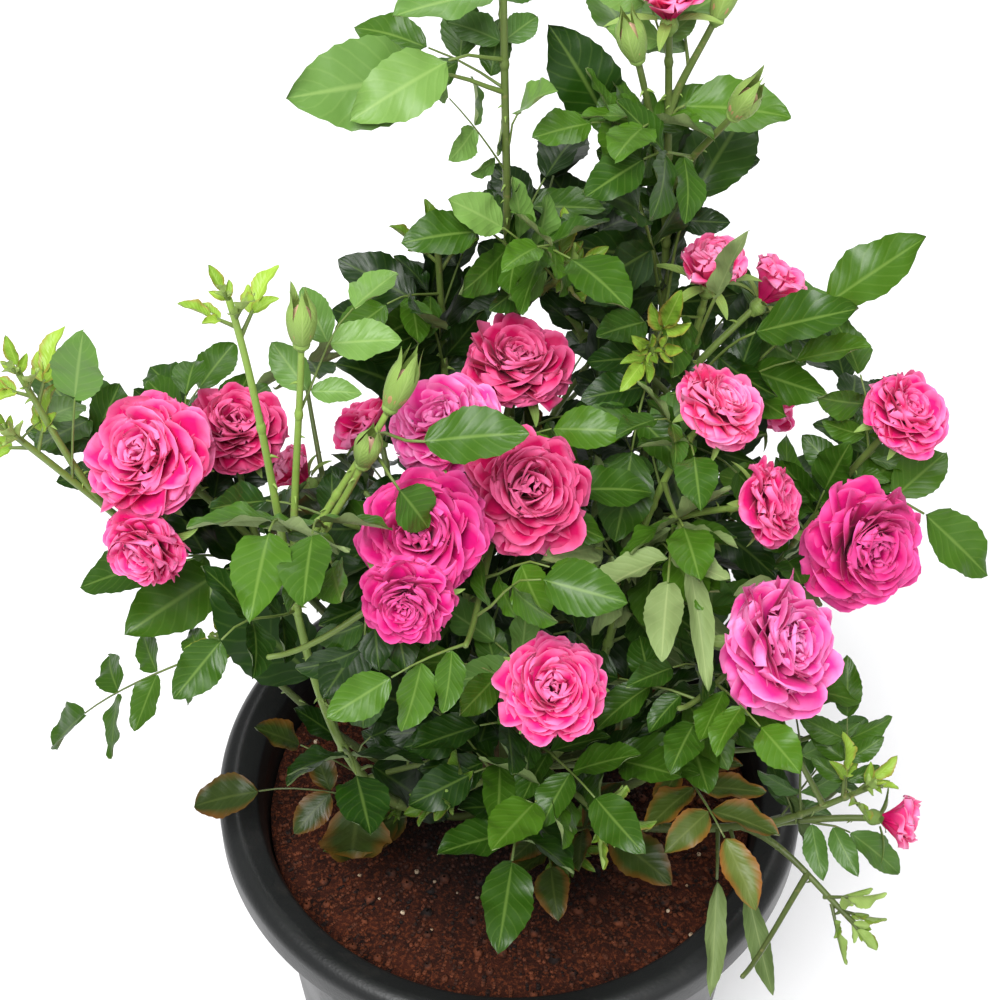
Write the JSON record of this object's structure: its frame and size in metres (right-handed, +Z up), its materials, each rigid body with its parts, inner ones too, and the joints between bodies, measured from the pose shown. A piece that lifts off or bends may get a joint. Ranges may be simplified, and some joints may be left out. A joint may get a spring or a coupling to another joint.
{
  "type": "potted rose bush",
  "caption": "Miniature rose bush in full bloom in a round black nursery pot, with arching canes, compound leaves, ruffled pink flowers and buds.",
  "frame": {"origin": "middle of the pot's flat underside", "axes": "+Z up, -Y towards the front, the side with the lowest blooms, +X to the right"},
  "size_m": [0.2985, 0.2663, 0.512],
  "materials": {
    "pot": "satin black",
    "soil": "matte granular",
    "crown": "rough bark",
    "cane": "smooth green bark",
    "foliage": "satin leaf",
    "petal": "soft matte petal"
  },
  "bodies": {
    "root": {"cane_back": "cane", "cane_back_left": "cane", "cane_back_right": "cane", "cane_centre": "cane", "cane_far_left": "cane", "cane_front": "cane", "cane_left": "cane", "cane_left_front": "cane", "cane_low_left": "cane", "cane_low_right": "cane", "cane_right": "cane", "cane_right_front": "cane", "cane_right_middle": "cane", "cane_right_upper": "cane", "cane_top_centre": "cane", "cane_top_right": "cane", "cane_upper_left": "cane", "crown": "crown", "foliage_back": "foliage", "foliage_back_left": "foliage", "foliage_back_right": "foliage", "foliage_base_back": "foliage", "foliage_base_front": "foliage", "foliage_base_left": "foliage", "foliage_centre": "foliage", "foliage_far_left": "foliage", "foliage_front": "foliage", "foliage_left": "foliage", "foliage_left_front": "foliage", "foliage_low_left": "foliage", "foliage_low_right": "foliage", "foliage_right": "foliage", "foliage_right_front": "foliage", "foliage_right_middle": "foliage", "foliage_right_upper": "foliage", "foliage_top_centre": "foliage", "foliage_top_right": "foliage", "foliage_upper_left": "foliage", "pot": "pot", "soil": "soil"}
  },
  "joints": []
}
